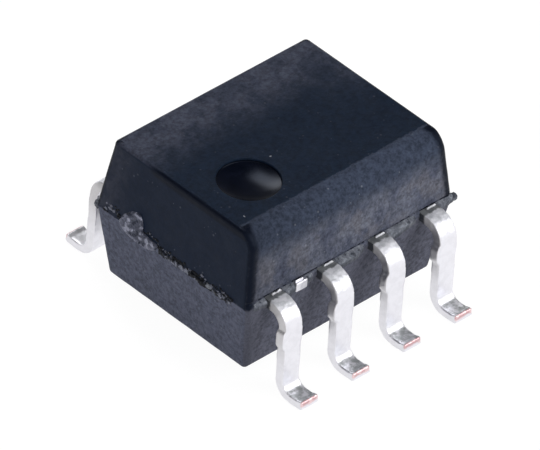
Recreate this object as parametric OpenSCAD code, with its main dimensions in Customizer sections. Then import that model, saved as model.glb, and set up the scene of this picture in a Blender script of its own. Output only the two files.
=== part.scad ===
// Optocoupler chip in an eight-lead small-outline package with gull-wing leads.
// Two stamped frames face each other inside one black moulding. The input frame hangs above,
// with the driver chip and the light-emitting chip on its underside. The output frame lies
// below, with the detector chip on its top. Clear silicone and a film part the two.
// Leads 1 to 4 leave the moulding at -Y and leads 5 to 8 at +Y. The feet stand on z = 0.

/* [Body] */
// Length of the moulding at its parting line, along the lead rows
body_l = 5.08; // [4.9:0.02:5.3]
// Width of the moulding at its parting line, across the lead rows
body_w = 3.93; // [3.8:0.01:4.1]
// Height of the moulding
body_h = 3.05; // [2.95:0.01:3.3]
// Air gap between the board and the underside of the moulding
standoff = 0.22; // [0.15:0.01:0.3]
// Height of the parting line above the underside
parting_h = 1.58; // [1.5:0.01:1.65]
// Height of the upright band that the two mould halves leave at the parting line
parting_band = 0.02; // [0.01:0.005:0.04]
// Draft of all the faces above the parting line, in degrees
draft_up = 7; // [5:0.5:9]
// Draft of the two long faces below the parting line, in degrees
draft_low = 7; // [5:0.5:9]
// Draft of the two end faces below the parting line, in degrees
draft_end = 9; // [5:0.5:11]
// Radius of the moulding's edges and corners
edge_r = 0.08; // [0.04:0.01:0.12]
// Radius of the long top edge over leads 1 to 4
shoulder_r = 0.42; // [0.3:0.01:0.55]

/* [First lead mark] */
// Radius of the round recess beside lead 1
mark_r = 0.59; // [0.4:0.01:0.65]
// Depth of the recess's straight wall
mark_wall = 0.06; // [0.03:0.01:0.1]
// Depth of the dished floor below that wall
mark_dish = 0.13; // [0.05:0.01:0.2]
// Distance of the recess from the middle, along the lead rows
mark_x = 1.27; // [1.1:0.01:1.4]
// Distance of the recess from the middle, across the lead rows
mark_y = 0.54; // [0.4:0.01:0.6]

/* [Leads] */
// Distance between neighbouring leads
pitch = 1.27; // [1.25:0.01:1.29]
// Width of a lead
lead_w = 0.406; // [0.33:0.002:0.46]
// Thickness of the lead frame's sheet
lead_t = 0.2; // [0.16:0.01:0.24]
// Thickness of a foot, which the forming tool presses thinner
foot_t = 0.16; // [0.12:0.01:0.2]
// Distance between the tips of the two rows of feet
lead_span = 6.12; // [6.1:0.01:6.4]
// Straight run of a lead from the moulding to its upper bend, as a share of its reach past the moulding
exit_share = 0.128; // [0.1:0.002:0.146]
// Inside radius of the upper bend, as a share of that reach
knee_share = 0.22; // [0.18:0.002:0.23]
// Inside radius of the lower bend, as a share of that reach
heel_share = 0.155; // [0.11:0.005:0.18]
// Lean of a leg from upright, outwards at the foot, in degrees
leg_lean = 1; // [0:0.5:2]
// Radius of the foot's upturned toe, along the middle of the sheet, as a share of that reach
toe_share = 0.91; // [0.5:0.01:1]
// Angle through which the toe turns up, in degrees
toe_lift = 11; // [5:1:12]
// Thickness of a toe's worn tip, as a share of the foot's
tip_share = 0.6; // [0.4:0.05:0.9]
// Reach of the stub that the cut dam bar leaves on one edge of a leg
dam_long = 0.067; // [0.03:0.001:0.1]
// Reach of the stub on the leg's other edge, where the cut ran closer
dam_short = 0.018; // [0.01:0.001:0.06]
// Height of those stubs
dam_h = 0.44; // [0.3:0.01:0.48]
// Drop from the top of a lead to the top of its stubs
dam_drop = 0.42; // [0.4:0.01:0.48]
// Width of the input frame's tie bar, between leads 1 and 2
tie_w = 0.28; // [0.2:0.01:0.34]
// Length of the sheared tie bar that stands out of the moulding
tie_out = 0.08; // [0.05:0.01:0.12]

/* [Moulding flash] */
// Reach of the longest web of flash between two leads
flash_reach = 0.13; // [0.05:0.01:0.18]
// Gap between the end of a web and the lead after it
web_gap = 0.12; // [0.08:0.01:0.2]
// Distance of the first web from the moulding's end
web_start = 0.17; // [0.1:0.01:0.25]
// Reach of the flash past the moulding's ends
flash_end = 0.06; // [0.03:0.01:0.1]
// Thickness of the fin along the parting line of the end beside leads 1 and 8
fin_t = 0.08; // [0.04:0.01:0.12]
// Distance of that fin from the corner beside lead 1
fin_stop = 0.42; // [0.3:0.02:0.6]
// Length of the broken gate on that end
gate_l = 1.03; // [0.8:0.01:1.3]
// Height of the broken gate
gate_h = 0.64; // [0.4:0.01:0.7]
// Distance of the gate from the middle of the end, towards lead 8
gate_y = 0.31; // [0.2:0.01:0.4]

/* [Frames inside] */
// Run of a lead inside the moulding before its inner joggle
anchor_l = 0.3; // [0.2:0.01:0.35]
// Horizontal length of the joggle
joggle_l = 0.4; // [0.35:0.01:0.45]
// Length of the bonding head at the end of a finger
head_l = 0.3; // [0.2:0.01:0.35]
// Width of a bonding head
head_w = 0.5; // [0.42:0.01:0.54]
// Margin of a frame's pad round its chip
pad_rim = 0.2; // [0.16:0.01:0.25]
// Width of the rail that joins lead 4 to the driver chip's pad
rail_w = 0.3; // [0.2:0.01:0.35]
// Reach of the driver chip's pad past its chip, towards the light-emitting chip
pad_lip = 0.06; // [0.03:0.01:0.08]
// Gap between that rail and the light-emitting chip's pad
rail_gap = 0.34; // [0.2:0.01:0.4]

/* [Chips and wires] */
// Side of the light-emitting chip
led_side = 0.32; // [0.25:0.01:0.36]
// Shift of the light-emitting chip and the detector towards leads 1 to 4
optics_shift = 0.1; // [0.05:0.01:0.15]
// Shift of the detector's middle from the light-emitting chip, towards lead 1
detector_shift = 0.2; // [0.1:0.01:0.25]
// Shift of the driver chip from the middle of the room beside that pad, towards lead 1
driver_shift = 0.09; // [0.06:0.01:0.12]
// Thickness of the light-emitting chip
led_h = 0.18; // [0.12:0.01:0.2]
// Size of the driver chip along the lead rows
driver_l = 0.85; // [0.7:0.01:0.9]
// Size of the driver chip across the lead rows
driver_w = 0.8; // [0.6:0.01:0.85]
// Size of the detector chip along the lead rows
detector_l = 1.3; // [1.1:0.01:1.4]
// Size of the detector chip across the lead rows
detector_w = 1.2; // [1:0.01:1.3]
// Thickness of the driver and detector chips
chip_h = 0.25; // [0.22:0.01:0.27]
// Thickness of the adhesive under each chip
bond_h = 0.02; // [0.01:0.005:0.03]
// Diameter of a bond wire
wire_d = 0.03; // [0.025:0.001:0.035]
// Height of a bond wire's loop over its chip
loop_h = 0.09; // [0.07:0.005:0.1]
// Clear silicone between the loops and the insulating film
loop_gap = 0.04; // [0.03:0.005:0.06]
// Thickness of the insulating film
film_h = 0.08; // [0.05:0.01:0.1]
// Height of the film's middle above the parting line
film_rise = 0.18; // [0.16:0.01:0.2]
// Overhang of the film round the detector chip
film_rim = 0.1; // [0.05:0.01:0.15]
// Margin of the silicone round the chips, where it is widest
coat_rim = 0.28; // [0.25:0.01:0.32]
// Bulge of the silicone beyond its flat ends
coat_bulge = 0.22; // [0.1:0.01:0.3]

/* [Hidden] */

mould_black = "#24262c";
tin_silver = "#cfd0d4";
silicon_grey = "#5c6270";
adhesive_silver = "#b9bcc2";

// Heights: the loops and the film between the chips set how far apart the frames lie
part_z = standoff + parting_h;
top_z = standoff + body_h;
film_z = part_z + film_rise;
face_gap = film_h / 2 + loop_gap + loop_h;
driver_face_z = film_z + face_gap;
detector_face_z = film_z - face_gap;
input_z = driver_face_z + chip_h + bond_h;
output_z = detector_face_z - chip_h - bond_h;
led_face_z = input_z - bond_h - led_h;
input_rise = input_z + lead_t / 2 - part_z;
output_rise = output_z - lead_t / 2 - part_z;

// Distances from the middle of the chip to the joggles and the bonding heads
joggle_out = body_w / 2 - anchor_l;
joggle_in = joggle_out - joggle_l;
head_y = joggle_in - head_l / 2;

// Plan positions of the chips and pads
led = [lead_x(3), -optics_shift];
led_pad = led_side + 2 * pad_rim;
detector = [led[0] - detector_shift, led[1]];
driver = [(lead_x(2) + led[0] - led_pad / 2) / 2 - driver_l / 2 - driver_shift, 0];
driver_pad_low = [-pitch - tie_w / 2, driver[1] - driver_w / 2 - pad_rim];
driver_pad_high = driver + [driver_l / 2 + pad_lip, driver_w / 2 + pad_rim];
rail_y = led[1] + led_pad / 2 + rail_gap + rail_w / 2;

// The middle of a leg's sheet, from the knee to the toe, as [outwards, up]
lead_reach = (lead_span - body_w) / 2;
knee_turn = 90 - leg_lean;
knee_rm = knee_share * lead_reach + lead_t / 2;
heel_rm = heel_share * lead_reach + lead_t / 2;
toe_r = toe_share * lead_reach;
knee_c = [body_w / 2 + exit_share * lead_reach, part_z - knee_rm];
knee_end = knee_c + knee_rm * [sin(knee_turn), cos(knee_turn)];
heel_start_z = heel_rm + foot_t / 2 - heel_rm * cos(knee_turn);
heel_start = [knee_end[0] + (knee_end[1] - heel_start_z) * tan(leg_lean), heel_start_z];
heel_c = heel_start + heel_rm * [sin(knee_turn), cos(knee_turn)];
toe_c = [lead_span / 2 - (toe_r - foot_t / 2) * sin(toe_lift), foot_t / 2 + toe_r];

// The middle of the sheet outside the moulding, and its thickness there
knee_path = arc(knee_c, knee_rm, 90, leg_lean);
heel_path = arc(heel_c, heel_rm, 180 + leg_lean, 270);
toe_path = arc(toe_c, toe_r, 270, 270 + toe_lift, 4);
outer_path = concat(knee_path, heel_path, toe_path);
heel_last = len(heel_path) - 1;
toe_last = len(toe_path) - 1;
outer_t = concat(
    [for (p = knee_path) lead_t],
    [for (i = [0:heel_last]) lead_t + (foot_t - lead_t) * i / heel_last],
    [for (i = [0:toe_last]) i < toe_last ? foot_t : foot_t * tip_share]
);

// Flash webs of one side: start and end along the row, and the reach at equal steps between them
lead_edge = lead_w / 2;
webs = [
    [-body_l / 2 + web_start, lead_x(1) - lead_edge, [0.1, 0.3, 0.25, 0.6]],
    [lead_x(1) + lead_edge, lead_x(2) - lead_edge - web_gap, [0.95, 0.6, 0.45, 0.3, 0.35, 0.2]],
    [lead_x(2) + lead_edge, lead_x(3) - lead_edge - web_gap, [0.85, 0.9, 0.6, 1, 0.7, 0.1]],
    [lead_x(3) + lead_edge, lead_x(4) - lead_edge - web_gap, [0.95, 0.75, 0.8, 0.5, 0.55, 0.2]],
    [lead_x(4) + lead_edge, body_l / 2 + flash_end, [1, 0.4, 0.3, 0.7, 0.55]]
];

// Outline of the broken gate as [across, up], in shares of its length and height
gate_outline = [
    [0, 0.42], [0.09, 0.15], [0.3, 0], [0.7, 0.01], [0.88, 0.08], [1, 0.37],
    [0.92, 0.64], [0.74, 0.9], [0.55, 1], [0.44, 0.75], [0.42, 0.5], [0.2, 0.45]
];
gate_drop = 0.34; // Share of the gate's height that lies below the parting line

// Reach of the fin's broken edge at equal steps, in shares of its longest
fin_edge = [0.4, 0.85, 0.3, 0.7, 0.55, 0.2, 0.75, 0.45, 1, 0.9, 0.35, 0.6, 0.95, 0.5, 0.15];

// Bond wires: a ball's radius and height in wire diameters, and the bend that moves a loop's top to its start
ball_spread = 1.3;
ball_rise = 1.6;
loop_skew = 0.6;

// Middle of lead n along the rows
function lead_x(n) = n < 5 ? (n - 2.5) * pitch : (6.5 - n) * pitch;

// Points on an arc round c, from angle a to angle b
function arc(c, r, a, b, steps = 12) =
    [for (i = [0:steps]) c + r * [cos(a + (b - a) * i / steps), sin(a + (b - a) * i / steps)]];

function unit(v) = v / norm(v);
function left_of(v) = [-v[1], v[0]];

// Unit step from the middle of a bent strip to its edge, mitred at point i
function mitre(path, i) =
    let (last = len(path) - 1)
    let (before = left_of(unit(path[max(i, 1)] - path[max(i, 1) - 1])))
    let (after = left_of(unit(path[min(i, last - 1) + 1] - path[min(i, last - 1)])))
    (before + after) / (1 + before * after);

// Outline of a strip whose middle follows the path, with its thickness at each point
function strip(path, t) = concat(
    [for (i = [0:len(path) - 1]) path[i] + mitre(path, i) * t[i] / 2],
    [for (i = [len(path) - 1:-1:0]) path[i] - mitre(path, i) * t[i] / 2]
);

// Middle of the sheet inside the moulding, from its inner end to where it levels out
function inner_path(inner_end, rise) = [
    [inner_end, part_z + rise],
    [joggle_in, part_z + rise],
    [joggle_out, part_z]
];

// Extrudes a profile drawn as [outwards, up] along the rows, on the side of leads 1 to 4
module along_row(width) {
    rotate([90, 0, -90]) linear_extrude(height = width, center = true) children();
}

// Turns what is drawn at lead n's place on the side of leads 1 to 4 onto lead n's own side
module at_lead(n) {
    rotate(n < 5 ? 0 : 180) translate([n < 5 ? lead_x(n) : -lead_x(n), 0, 0]) children();
}

// A rectangle of the frame's sheet, from one plan corner to the other, with its top at z
module plate(low, high, z) {
    translate([low[0], low[1], z - lead_t]) cube([high[0] - low[0], high[1] - low[1], lead_t]);
}

// Edge of a leg along a stub, which swells from the edge and sinks back, at the shares of its height
function swell(edge, reach, shares) = [for (t = shares) [edge + reach * (1 - pow(2 * t - 1, 4)), dam_h * t]];

// One gull-wing lead as a bent strip, with the stubs of its dam bar
module bent_lead(inner_end, rise) {
    inside = inner_path(inner_end, rise);
    stub_top = part_z + lead_t / 2 - dam_drop;
    along_row(lead_w) polygon(strip(concat(inside, outer_path), concat([for (p = inside) lead_t], outer_t)));
    intersection() {
        along_row(lead_w + 2 * dam_long) polygon(strip(outer_path, outer_t));
        translate([0, 0, stub_top - dam_h]) rotate([90, 0, 0]) linear_extrude(height = lead_span / 2)
            polygon(concat(
                swell(-lead_edge, -dam_long, [0:0.125:1]),
                swell(lead_edge, dam_short, [1:-0.125:0])
            ));
    }
}

// A lead that ends in a bonding head for a wire
module finger_lead(n, rise) {
    at_lead(n) {
        bent_lead(joggle_in - head_l, rise);
        plate([-head_w / 2, -joggle_in], [head_w / 2, -joggle_in + head_l], part_z + rise + lead_t / 2);
    }
}

// Lead 3 carries the light-emitting chip's pad
module led_pad_lead() {
    half = [led_pad, led_pad] / 2;
    at_lead(3) bent_lead(-led[1] - half[1], input_rise);
    plate(led - half, led + half, input_z + lead_t);
}

// Lead 4 carries the driver chip's pad on a rail, and the tie bar that steadies the pad
module driver_pad_lead() {
    pad_top = input_z + lead_t;
    tie_path = concat(
        inner_path(-driver_pad_low[1] - tie_w, input_rise),
        [[body_w / 2 + tie_out, part_z]]
    );
    at_lead(4) bent_lead(-rail_y - rail_w / 2, input_rise);
    plate([driver_pad_low[0], rail_y - rail_w / 2], [lead_x(4) + lead_edge, rail_y + rail_w / 2], pad_top);
    plate(driver_pad_low, [driver_pad_high[0], rail_y], pad_top);
    translate([-pitch, 0, 0]) along_row(tie_w) polygon(strip(tie_path, [for (p = tie_path) lead_t]));
}

// Lead 5 carries the detector chip's pad
module detector_pad_lead() {
    half = [detector_l, detector_w] / 2 + [pad_rim, pad_rim];
    neck = [lead_x(5) + lead_edge, detector[1] + half[1]];
    at_lead(5) bent_lead(neck[1] - rail_w, output_rise);
    plate(detector - half, detector + half, output_z);
    plate([detector[0], neck[1] - rail_w], neck, output_z);
}

module lead(n) {
    color(tin_silver)
    if (n == 3) led_pad_lead();
    else if (n == 4) driver_pad_lead();
    else if (n == 5) detector_pad_lead();
    else finger_lead(n, n < 5 ? input_rise : output_rise);
}

// A chip, film or layer of adhesive, centred in plan at c, from z upwards
module slab(c, size, z, h) {
    translate([c[0] - size[0] / 2, c[1] - size[1] / 2, z]) cube([size[0], size[1], h]);
}

module led_chip() {
    color("#8a3b3b") slab(led, [led_side, led_side], led_face_z, led_h);
}

module driver_chip() {
    color(silicon_grey) slab(driver, [driver_l, driver_w], driver_face_z, chip_h);
}

module detector_chip() {
    color(silicon_grey) slab(detector, [detector_l, detector_w], output_z + bond_h, chip_h);
}

module led_die_bond() {
    color(adhesive_silver) slab(led, [led_side, led_side], input_z - bond_h, bond_h);
}

module driver_die_bond() {
    color(adhesive_silver) slab(driver, [driver_l, driver_w], input_z - bond_h, bond_h);
}

module detector_die_bond() {
    color(adhesive_silver) slab(detector, [detector_l, detector_w], output_z, bond_h);
}

module insulating_film() {
    size = [detector_l, detector_w] + 2 * [film_rim, film_rim];
    color("#c98a2b") slab(detector, size, film_z - film_h / 2, film_h);
}

// A six-sided tube along points that lie over one line in plan
module tube(points, r) {
    sides = 6;
    last = len(points) - 1;
    flat = unit([points[last][0] - points[0][0], points[last][1] - points[0][1]]);
    across = [-flat[1], flat[0], 0];
    rings = [for (i = [0:last])
        let (up = cross(unit(points[min(i + 1, last)] - points[max(i - 1, 0)]), across))
        for (k = [0:sides - 1]) points[i] + r * (across * cos(k * 360 / sides) + up * sin(k * 360 / sides))
    ];
    walls = [for (i = [0:last - 1]) for (k = [0:sides - 1])
        [k, k + sides, (k + 1) % sides + sides, (k + 1) % sides] + i * sides * [1, 1, 1, 1]
    ];
    start = [for (k = [0:sides - 1]) k];
    end = [for (k = [sides - 1:-1:0]) last * sides + k];
    polyhedron(points = rings, faces = concat([start], walls, [end]));
}

// A bond wire from the face at a to the face at b. Its loop stands up for 1 and hangs down for -1
module bond_wire(a, b, side) {
    steps = 10;
    ball_r = wire_d * ball_spread;
    ball_h = wire_d * ball_rise;
    rise = loop_h - (ball_h + wire_d) / 2;
    // The loop's height at the share s of the run: it leaves a steeply and slopes down to b
    function loop(s) = ball_h / 2 + rise * sin(180 * pow(s, loop_skew));
    points = [for (i = [0:steps])
        let (s = i / steps)
        [a[0] + (b[0] - a[0]) * s, a[1] + (b[1] - a[1]) * s, a[2] + (b[2] - a[2]) * s * s + side * loop(s)]
    ];
    color("#d9b24a") {
        tube(points, wire_d / 2);
        for (p = [a, b]) translate(p - [0, 0, side > 0 ? 0 : ball_h])
            cylinder(r = ball_r, h = ball_h, $fn = 12);
    }
}

// Middle of the face of lead n's bonding head
function head(n) = [lead_x(n), (n < 5 ? -1 : 1) * head_y, n < 5 ? input_z : output_z];

// A point on a chip's face, at shares of its half size from its middle
function on_chip(c, size, share, z) = [c[0] + size[0] / 2 * share[0], c[1] + size[1] / 2 * share[1], z];
function on_driver(share) = on_chip(driver, [driver_l, driver_w], share, driver_face_z);
function on_detector(share) = on_chip(detector, [detector_l, detector_w], share, detector_face_z);

module supply_wire_in() {
    bond_wire(on_driver([-0.6, -0.75]), head(1), -1);
}

module signal_wire_in() {
    bond_wire(on_driver([0.2, -0.75]), head(2), -1);
}

module ground_wire_in() {
    start = on_driver([0, 0.75]);
    bond_wire(start, [start[0], rail_y, input_z], -1);
}

module led_cathode_wire() {
    bond_wire(on_driver([0.78, 2 * led[1] / driver_w]), [led[0], led[1], led_face_z], -1);
}

module led_anode_wire() {
    start = on_driver([0.78, 0.35]);
    bond_wire(start, [led[0] - (led_side + pad_rim) / 2, start[1], input_z], -1);
}

module supply_wire_out() {
    bond_wire(on_detector([-0.8, 0.75]), head(8), 1);
}

module signal_wire_out() {
    bond_wire(on_detector([0.3, 0.8]), head(6), 1);
}

module ground_wire_out() {
    start = on_detector([0.8, 0.88]);
    bond_wire(start, [start[0], detector[1] + (detector_w + pad_rim) / 2, output_z], 1);
}

// The silicone before it takes the shapes of what it covers
module silicone_blob() {
    h = input_z - output_z;
    module barrel(r) {
        bulge = [for (p = arc([0, 0], 1, -90, 90, 6)) [r - coat_bulge * (1 - p[0]), (p[1] + 1) / 2 * h]];
        rotate_extrude($fn = 32) polygon(concat([[0, 0]], bulge, [[0, h]]));
    }
    hull() {
        translate([detector[0], detector[1], output_z]) barrel(detector_l / 2 + coat_rim);
        translate([driver[0], driver[1], output_z]) barrel(driver_l / 2 + coat_rim);
    }
}

module chips_and_wires() {
    led_chip();
    driver_chip();
    detector_chip();
    led_die_bond();
    driver_die_bond();
    detector_die_bond();
    insulating_film();
    supply_wire_in();
    signal_wire_in();
    ground_wire_in();
    led_cathode_wire();
    led_anode_wire();
    supply_wire_out();
    signal_wire_out();
    ground_wire_out();
}

module silicone_light_guide() {
    color("#e8e6dc") difference() {
        silicone_blob();
        chips_and_wires();
    }
}

// Distance from the middle at which a ball of radius r touches a drafted wall at height z
function ball_at(half, draft, z, r) = half - abs(z - part_z) * tan(draft) - r / cos(draft);

// The moulding's outside: balls roll in its edges, and the parting line is sharp
module body_form() {
    ball = edge_r;
    top_ball = top_z - ball;
    low_ball = standoff + ball;
    shoulder_z = top_z - shoulder_r;
    shoulder_y = -ball_at(body_w / 2, draft_up, shoulder_z, shoulder_r);
    far = [[ball_at(body_w / 2, draft_up, top_ball, ball), top_ball]];
    shoulder = arc([shoulder_y, shoulder_z], shoulder_r - ball, 90, 180 - draft_up);
    low_y = ball_at(body_w / 2, draft_low, low_ball, ball);
    hull() for (end = [-1, 1]) {
        for (p = concat(far, shoulder))
            translate([end * ball_at(body_l / 2, draft_up, p[1], ball), p[0], p[1]]) sphere(ball, $fn = 24);
        for (row = [-1, 1]) {
            translate([end * (body_l / 2 - ball), row * (body_w / 2 - ball), part_z])
                cylinder(r = ball, h = parting_band, center = true, $fn = 24);
            translate([end * ball_at(body_l / 2, draft_end, low_ball, ball), row * low_y, low_ball])
                sphere(ball, $fn = 24);
        }
    }
}

// Thin webs that the mould lets out between the leads of one side
module flash_side() {
    translate([0, -body_w / 2, part_z - lead_t / 2]) linear_extrude(height = lead_t)
        for (web = webs) {
            steps = len(web[2]) - 1;
            edge = [for (i = [0:steps]) [web[0] + (web[1] - web[0]) * i / steps, -flash_reach * web[2][i]]];
            polygon(concat([[web[0], edge_r]], edge, [[web[1], edge_r]]));
        }
}

// The broken fin of flash along the end's parting line, from the gate towards lead 1
module end_fin() {
    steps = len(fin_edge) - 1;
    length = body_w / 2 + gate_y - fin_stop;
    crumbs = [for (i = [0:steps]) [-flash_end * fin_edge[i], gate_y - length * i / steps]];
    translate([-body_l / 2, 0, part_z - fin_t]) linear_extrude(height = fin_t)
        polygon(concat([[edge_r, gate_y]], crumbs, [[edge_r, gate_y - length]]));
}

// The stub of the gate, broken off short, on the same end
module gate() {
    outline = [for (p = gate_outline) [gate_y + gate_l * p[0], part_z + gate_h * (p[1] - gate_drop)]];
    translate([-(body_l + flash_end) / 2, 0, 0]) rotate([90, 0, 90])
        linear_extrude(height = edge_r + flash_end / 2) polygon(outline);
}

// The round recess that marks lead 1
module lead_1_mark() {
    dish_r = (mark_r * mark_r + mark_dish * mark_dish) / (2 * mark_dish);
    translate([-mark_x, -mark_y, top_z - mark_wall]) {
        cylinder(r = mark_r, h = mark_wall + edge_r, $fn = 96);
        intersection() {
            translate([0, 0, dish_r - mark_dish]) sphere(dish_r, $fn = 96);
            translate([0, 0, -mark_dish]) cylinder(r = mark_r, h = mark_dish + mark_wall, $fn = 96);
        }
    }
}

module moulded_body() {
    color(mould_black) difference() {
        union() {
            body_form();
            flash_side();
            rotate(180) flash_side();
            end_fin();
            gate();
        }
        lead_1_mark();
        for (n = [1:8]) lead(n);
        silicone_blob();
        chips_and_wires();
    }
}

moulded_body();
lead(1);  // lead_1
lead(2);  // lead_2
lead(3);  // lead_3
lead(4);  // lead_4
lead(5);  // lead_5
lead(6);  // lead_6
lead(7);  // lead_7
lead(8);  // lead_8
led_chip();
driver_chip();
detector_chip();
led_die_bond();
driver_die_bond();
detector_die_bond();
insulating_film();
silicone_light_guide();
supply_wire_in();
signal_wire_in();
ground_wire_in();
led_cathode_wire();
led_anode_wire();
supply_wire_out();
signal_wire_out();
ground_wire_out();
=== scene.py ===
import math

import bmesh
import bpy
import numpy as np
from mathutils import Matrix, Vector, noise


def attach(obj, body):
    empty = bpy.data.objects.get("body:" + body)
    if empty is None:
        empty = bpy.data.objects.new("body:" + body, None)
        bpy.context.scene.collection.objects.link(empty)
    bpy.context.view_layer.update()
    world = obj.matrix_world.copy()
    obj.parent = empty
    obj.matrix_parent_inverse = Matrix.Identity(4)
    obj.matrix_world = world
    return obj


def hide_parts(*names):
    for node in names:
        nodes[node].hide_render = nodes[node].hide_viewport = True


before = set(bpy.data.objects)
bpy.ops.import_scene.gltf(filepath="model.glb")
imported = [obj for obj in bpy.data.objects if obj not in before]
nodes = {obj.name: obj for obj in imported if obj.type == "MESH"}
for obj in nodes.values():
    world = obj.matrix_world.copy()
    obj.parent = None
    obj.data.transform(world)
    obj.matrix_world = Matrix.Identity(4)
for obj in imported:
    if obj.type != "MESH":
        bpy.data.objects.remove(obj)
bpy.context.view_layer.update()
mm = 0.001
print("frame loaded:", len(nodes), "solids")

# Camera: a long lens from the end beside lead 1
shot = {
    "azimuth": -46.6,
    "elevation": 38.85,
    "roll": 4.8,
    "aim": (-0.357, -0.278, 1.6),  # mm
    "distance": 220.0,  # mm
    "seenWidth": 9.61,  # mm across the frame
}


def placeCamera():
    a, e, r = (math.radians(shot[k]) for k in ("azimuth", "elevation", "roll"))
    back = Vector((math.sin(a) * math.cos(e), -math.cos(a) * math.cos(e), math.sin(e)))
    level = Vector((math.cos(a), math.sin(a), 0))
    right = level * math.cos(r) + back.cross(level) * math.sin(r)
    up = back.cross(right)
    lens = bpy.data.cameras.new("camera")
    lens.sensor_width = 36
    lens.lens = 36 * shot["distance"] / shot["seenWidth"]
    lens.clip_start, lens.clip_end = 0.005, 20
    cam = bpy.data.objects.new("camera", lens)
    bpy.context.scene.collection.objects.link(cam)
    place = Matrix((right, up, back)).transposed().to_4x4()
    place.translation = (Vector(shot["aim"]) + back * shot["distance"]) * mm
    cam.matrix_world = place
    bpy.context.scene.camera = cam


placeCamera()
print("camera placed")


# Small helpers for meshes; all their points are in mm

def makePiece(name, points, faces, materials, smooth=True):
    mesh = bpy.data.meshes.new(name)
    mesh.from_pydata((np.asarray(points) * mm).tolist(), [], faces)
    mesh.validate()
    mesh.polygons.foreach_set("use_smooth", [smooth] * len(mesh.polygons))
    for material in materials:
        mesh.materials.append(material)
    piece = bpy.data.objects.new(name, mesh)
    bpy.context.scene.collection.objects.link(piece)
    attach(piece, "root")
    return piece


def ringFaces(rings, around, closed=False):
    # Quads between rings of equal length, and a fan at each end unless the rings close on themselves
    faces = []
    last = rings if closed else rings - 1
    for i in range(last):
        a, b = i * around, (i + 1) % rings * around
        faces += [(a + k, a + (k + 1) % around, b + (k + 1) % around, b + k) for k in range(around)]
    if not closed:
        faces.append(tuple(range(around - 1, -1, -1)))
        faces.append(tuple((rings - 1) * around + k for k in range(around)))
    return faces


def ripple(p, scale, octaves=3, seed=0.0):
    # Smooth random number from about -1 to 1 at a point, with details of the given size
    q = Vector(p) / scale + Vector((seed, seed * 1.7, -seed))
    return noise.fractal(q, 0.9, 2.0, octaves, noise_basis="PERLIN_ORIGINAL")


def paint(piece, name, values):
    made = piece.data.attributes.new(name, "FLOAT", "POINT")
    made.data.foreach_set("value", np.asarray(values, float))


def easeStep(x, low, high):
    t = np.clip((x - low) / (high - low), 0, 1)
    return t * t * (3 - 2 * t)


# Shader helpers: a node with its inputs linked or set in one call

def addNode(tree, kind, inputs=None, **settings):
    made = tree.nodes.new(kind)
    for key, value in settings.items():
        setattr(made, key, value)
    for key, value in (inputs or {}).items():
        socket = made.inputs[key]
        if isinstance(value, bpy.types.NodeSocket):
            tree.links.new(value, socket)
        else:
            socket.default_value = value
    return made


def calc(tree, operation, *values, clamp=False):
    made = addNode(tree, "ShaderNodeMath", dict(enumerate(values)), operation=operation, use_clamp=clamp)
    return made.outputs[0]


def times(tree, first, second, clamp=False):
    return calc(tree, "MULTIPLY", first, second, clamp=clamp)


def inverse(tree, value):
    return calc(tree, "SUBTRACT", 1.0, value)


def blendColour(tree, share, first, second, mode="MIX"):
    made = addNode(tree, "ShaderNodeMix", data_type="RGBA", blend_type=mode, clamp_factor=True)
    for socket, value in ((made.inputs[0], share), (made.inputs[6], first), (made.inputs[7], second)):
        if isinstance(value, bpy.types.NodeSocket):
            tree.links.new(value, socket)
        elif isinstance(value, (int, float)):
            socket.default_value = value
        else:
            socket.default_value = (*value, 1)
    return made.outputs[2]


def between(tree, value, low, high, toLow=0.0, toHigh=1.0):
    made = addNode(tree, "ShaderNodeMapRange", {"Value": value, "From Min": low, "From Max": high,
                                                "To Min": toLow, "To Max": toHigh},
                   interpolation_type="SMOOTHSTEP")
    return made.outputs[0]


def newGroup(name, inputs, outputs):
    tree = bpy.data.node_groups.new(name, "ShaderNodeTree")
    for label, kind, value in inputs:
        socket = tree.interface.new_socket(label, in_out="INPUT", socket_type=kind)
        if value is not None:
            socket.default_value = value
    for label, kind in outputs:
        tree.interface.new_socket(label, in_out="OUTPUT", socket_type=kind)
    return tree, tree.nodes.new("NodeGroupInput"), tree.nodes.new("NodeGroupOutput")


def newMaterial(name):
    material = bpy.data.materials.new(name)
    material.use_nodes = True
    tree = material.node_tree
    tree.nodes.clear()
    shader = tree.nodes.new("ShaderNodeBsdfPrincipled")
    end = tree.nodes.new("ShaderNodeOutputMaterial")
    tree.links.new(shader.outputs[0], end.inputs[0])
    return material, tree, shader


def fillGroup(tree, group, inputs):
    made = tree.nodes.new("ShaderNodeGroup")
    made.node_tree = group
    for key, value in inputs.items():
        if isinstance(value, bpy.types.NodeSocket):
            tree.links.new(value, made.inputs[key])
        else:
            made.inputs[key].default_value = value
    return made


def placeInMm(tree):
    # Object coordinates in mm, and the same split into x, y and z
    coords = tree.nodes.new("ShaderNodeTexCoord")
    scaled = addNode(tree, "ShaderNodeVectorMath", {0: coords.outputs["Object"], 3: 1 / mm},
                     operation="SCALE")
    split = addNode(tree, "ShaderNodeSeparateXYZ", {0: scaled.outputs[0]})
    return scaled.outputs[0], split.outputs, coords.outputs["Normal"]


def addBump(tree, shader, height, strength, depth):
    # depth is in mm
    bump = addNode(tree, "ShaderNodeBump", {"Strength": strength, "Distance": depth * mm, "Height": height})
    tree.links.new(bump.outputs[0], shader.inputs["Normal"])


def painted(tree, name):
    return addNode(tree, "ShaderNodeAttribute", attribute_name=name).outputs["Fac"]


def shaded(tree, colour, level):
    # Colour times a brightness that changes over the surface
    grey = addNode(tree, "ShaderNodeCombineColor", {0: level, 1: level, 2: level})
    return blendColour(tree, 1.0, colour, grey.outputs[0], "MULTIPLY")


# Grain of filled epoxy: fine speckle, soft mottle, sparse pale flecks and the height for a bump

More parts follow.
